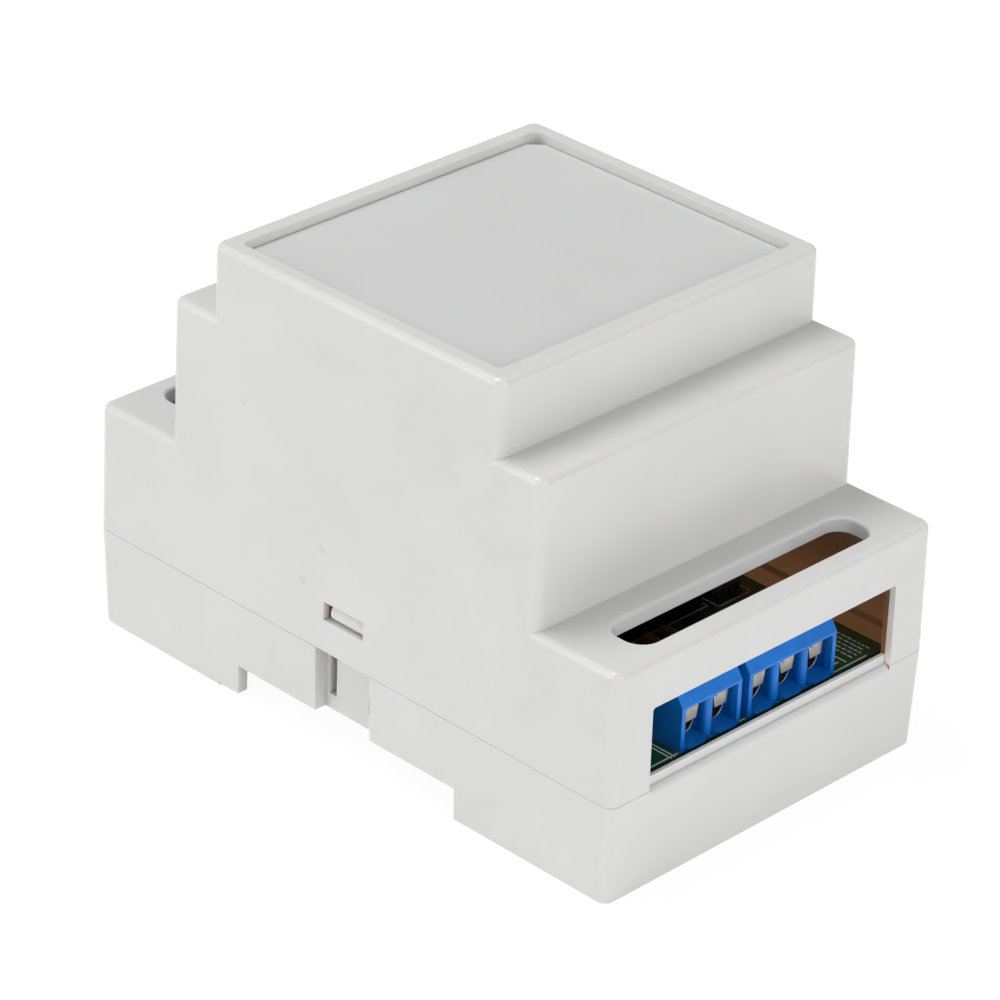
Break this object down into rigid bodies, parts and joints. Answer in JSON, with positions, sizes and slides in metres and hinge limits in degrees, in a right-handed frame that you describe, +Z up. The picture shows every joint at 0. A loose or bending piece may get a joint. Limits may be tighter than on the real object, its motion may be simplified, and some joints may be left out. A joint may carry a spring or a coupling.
{
  "type": "dc motor speed controller",
  "caption": "Boxed DC motor speed controller: stepped light grey enclosure that clips on a mounting rail, with a circuit board and blue screw terminals in its end windows.",
  "frame": {"origin": "centre of the bounding box's bottom, in the plane of the feet", "axes": "+Z up, away from the rail; X across the rail, with the two- and three-pole signal terminals and the sliding clip at +X; Y along the rail"},
  "size_m": [0.088, 0.0544, 0.0595],
  "materials": {
    "enclosure": "light grey moulded, semi-matt",
    "plate": "grey moulded, semi-matt",
    "clip": "light grey moulded",
    "board": "dark green solder mask",
    "steel": "zinc plated",
    "tin": "tinned",
    "black_aluminium": "black anodised",
    "epoxy": "black moulded epoxy",
    "can_sleeve": "black shrink sleeve",
    "ferrite": "dark grey ferrite",
    "shunt_metal": "bare resistance strip",
    "ceramic": "tan ceramic",
    "lamp": "green diffused",
    "terminal_blue": "blue moulded"
  },
  "bodies": {
    "base": {"base_shell": "enclosure", "snap_tongues": "enclosure", "circuit_board": "board", "board_screws": "steel", "terminal_contacts": "tin", "heat_sink": "black_aluminium", "power_mosfets": "epoxy", "mosfet_screws": "steel", "bulk_capacitors": "can_sleeve", "buck_inductor": "ferrite", "freewheel_diode": "epoxy", "shunt_resistor": "shunt_metal", "chip_resistors": "epoxy", "chip_capacitors": "ceramic", "crystal": "steel", "status_led": "lamp", "programming_header": "epoxy", "bus_transceiver": "epoxy", "microcontroller": "epoxy", "gate_driver": "epoxy", "voltage_regulator": "epoxy", "signal_terminal_2p_housing": "terminal_blue", "signal_terminal_3p_housing": "terminal_blue", "supply_terminal_housing": "terminal_blue", "motor_terminal_housing": "terminal_blue", "clip_spring": "clip"},
    "cover": {"top_cover": "enclosure"},
    "plate": {"top_plate": "plate"},
    "clip": {"rail_clip": "clip"},
    "leaf_1": {"clamp_leaf_1": "tin"},
    "screw_1": {"terminal_screw_1": "steel"},
    "leaf_2": {"clamp_leaf_2": "tin"},
    "screw_2": {"terminal_screw_2": "steel"},
    "leaf_3": {"clamp_leaf_3": "tin"},
    "screw_3": {"terminal_screw_3": "steel"},
    "leaf_4": {"clamp_leaf_4": "tin"},
    "screw_4": {"terminal_screw_4": "steel"},
    "leaf_5": {"clamp_leaf_5": "tin"},
    "screw_5": {"terminal_screw_5": "steel"},
    "leaf_6": {"clamp_leaf_6": "tin"},
    "screw_6": {"terminal_screw_6": "steel"},
    "leaf_7": {"clamp_leaf_7": "tin"},
    "screw_7": {"terminal_screw_7": "steel"},
    "leaf_8": {"clamp_leaf_8": "tin"},
    "screw_8": {"terminal_screw_8": "steel"},
    "leaf_9": {"clamp_leaf_9": "tin"},
    "screw_9": {"terminal_screw_9": "steel"}
  },
  "joints": [
    {"name": "cover_lift", "type": "slide", "parent": "base", "child": "cover", "axis": [0, 0, 1], "range_m": [0, 0.06], "deforming": ["snap_tongues"]},
    {"name": "plate_lift", "type": "slide", "parent": "cover", "child": "plate", "axis": [0, 0, 1], "range_m": [0, 0.02]},
    {"name": "clip_slide", "type": "slide", "parent": "base", "child": "clip", "axis": [1, 0, 0], "range_m": [0, 0.004], "stiffness_N_per_m": 1500, "springref_m": -0.002, "deforming": ["clip_spring"]},
    {"name": "leaf_1_press", "type": "slide", "parent": "base", "child": "leaf_1", "axis": [0, 0, -1], "range_m": [0, 0.0013]},
    {"name": "screw_1_turn", "type": "hinge", "parent": "leaf_1", "child": "screw_1", "pos_m": [0.0362, -0.01006, 0.021], "axis": [0, 0, -1], "range_deg": [0, 945]},
    {"name": "leaf_2_press", "type": "slide", "parent": "base", "child": "leaf_2", "axis": [0, 0, -1], "range_m": [0, 0.0013]},
    {"name": "screw_2_turn", "type": "hinge", "parent": "leaf_2", "child": "screw_2", "pos_m": [0.0362, -0.00498, 0.021], "axis": [0, 0, -1], "range_deg": [0, 945]},
    {"name": "leaf_3_press", "type": "slide", "parent": "base", "child": "leaf_3", "axis": [0, 0, -1], "range_m": [0, 0.0013]},
    {"name": "screw_3_turn", "type": "hinge", "parent": "leaf_3", "child": "screw_3", "pos_m": [0.0362, 0.0014, 0.021], "axis": [0, 0, -1], "range_deg": [0, 945]},
    {"name": "leaf_4_press", "type": "slide", "parent": "base", "child": "leaf_4", "axis": [0, 0, -1], "range_m": [0, 0.0013]},
    {"name": "screw_4_turn", "type": "hinge", "parent": "leaf_4", "child": "screw_4", "pos_m": [0.0362, 0.00648, 0.021], "axis": [0, 0, -1], "range_deg": [0, 945]},
    {"name": "leaf_5_press", "type": "slide", "parent": "base", "child": "leaf_5", "axis": [0, 0, -1], "range_m": [0, 0.0013]},
    {"name": "screw_5_turn", "type": "hinge", "parent": "leaf_5", "child": "screw_5", "pos_m": [0.0362, 0.01156, 0.021], "axis": [0, 0, -1], "range_deg": [0, 945]},
    {"name": "leaf_6_press", "type": "slide", "parent": "base", "child": "leaf_6", "axis": [0, 0, -1], "range_m": [0, 0.0013]},
    {"name": "screw_6_turn", "type": "hinge", "parent": "leaf_6", "child": "screw_6", "pos_m": [-0.0362, -0.00797, 0.021], "axis": [0, 0, -1], "range_deg": [0, 945]},
    {"name": "leaf_7_press", "type": "slide", "parent": "base", "child": "leaf_7", "axis": [0, 0, -1], "range_m": [0, 0.0013]},
    {"name": "screw_7_turn", "type": "hinge", "parent": "leaf_7", "child": "screw_7", "pos_m": [-0.0362, -0.00289, 0.021], "axis": [0, 0, -1], "range_deg": [0, 945]},
    {"name": "leaf_8_press", "type": "slide", "parent": "base", "child": "leaf_8", "axis": [0, 0, -1], "range_m": [0, 0.0013]},
    {"name": "screw_8_turn", "type": "hinge", "parent": "leaf_8", "child": "screw_8", "pos_m": [-0.0362, 0.00289, 0.021], "axis": [0, 0, -1], "range_deg": [0, 945]},
    {"name": "leaf_9_press", "type": "slide", "parent": "base", "child": "leaf_9", "axis": [0, 0, -1], "range_m": [0, 0.0013]},
    {"name": "screw_9_turn", "type": "hinge", "parent": "leaf_9", "child": "screw_9", "pos_m": [-0.0362, 0.00797, 0.021], "axis": [0, 0, -1], "range_deg": [0, 945]}
  ],
  "couplings": [
    {"joint": "screw_1_turn", "follows": "leaf_1_press", "rad_per_m": 12566},
    {"joint": "screw_2_turn", "follows": "leaf_2_press", "rad_per_m": 12566},
    {"joint": "screw_3_turn", "follows": "leaf_3_press", "rad_per_m": 12566},
    {"joint": "screw_4_turn", "follows": "leaf_4_press", "rad_per_m": 12566},
    {"joint": "screw_5_turn", "follows": "leaf_5_press", "rad_per_m": 12566},
    {"joint": "screw_6_turn", "follows": "leaf_6_press", "rad_per_m": 12566},
    {"joint": "screw_7_turn", "follows": "leaf_7_press", "rad_per_m": 12566},
    {"joint": "screw_8_turn", "follows": "leaf_8_press", "rad_per_m": 12566},
    {"joint": "screw_9_turn", "follows": "leaf_9_press", "rad_per_m": 12566}
  ]
}
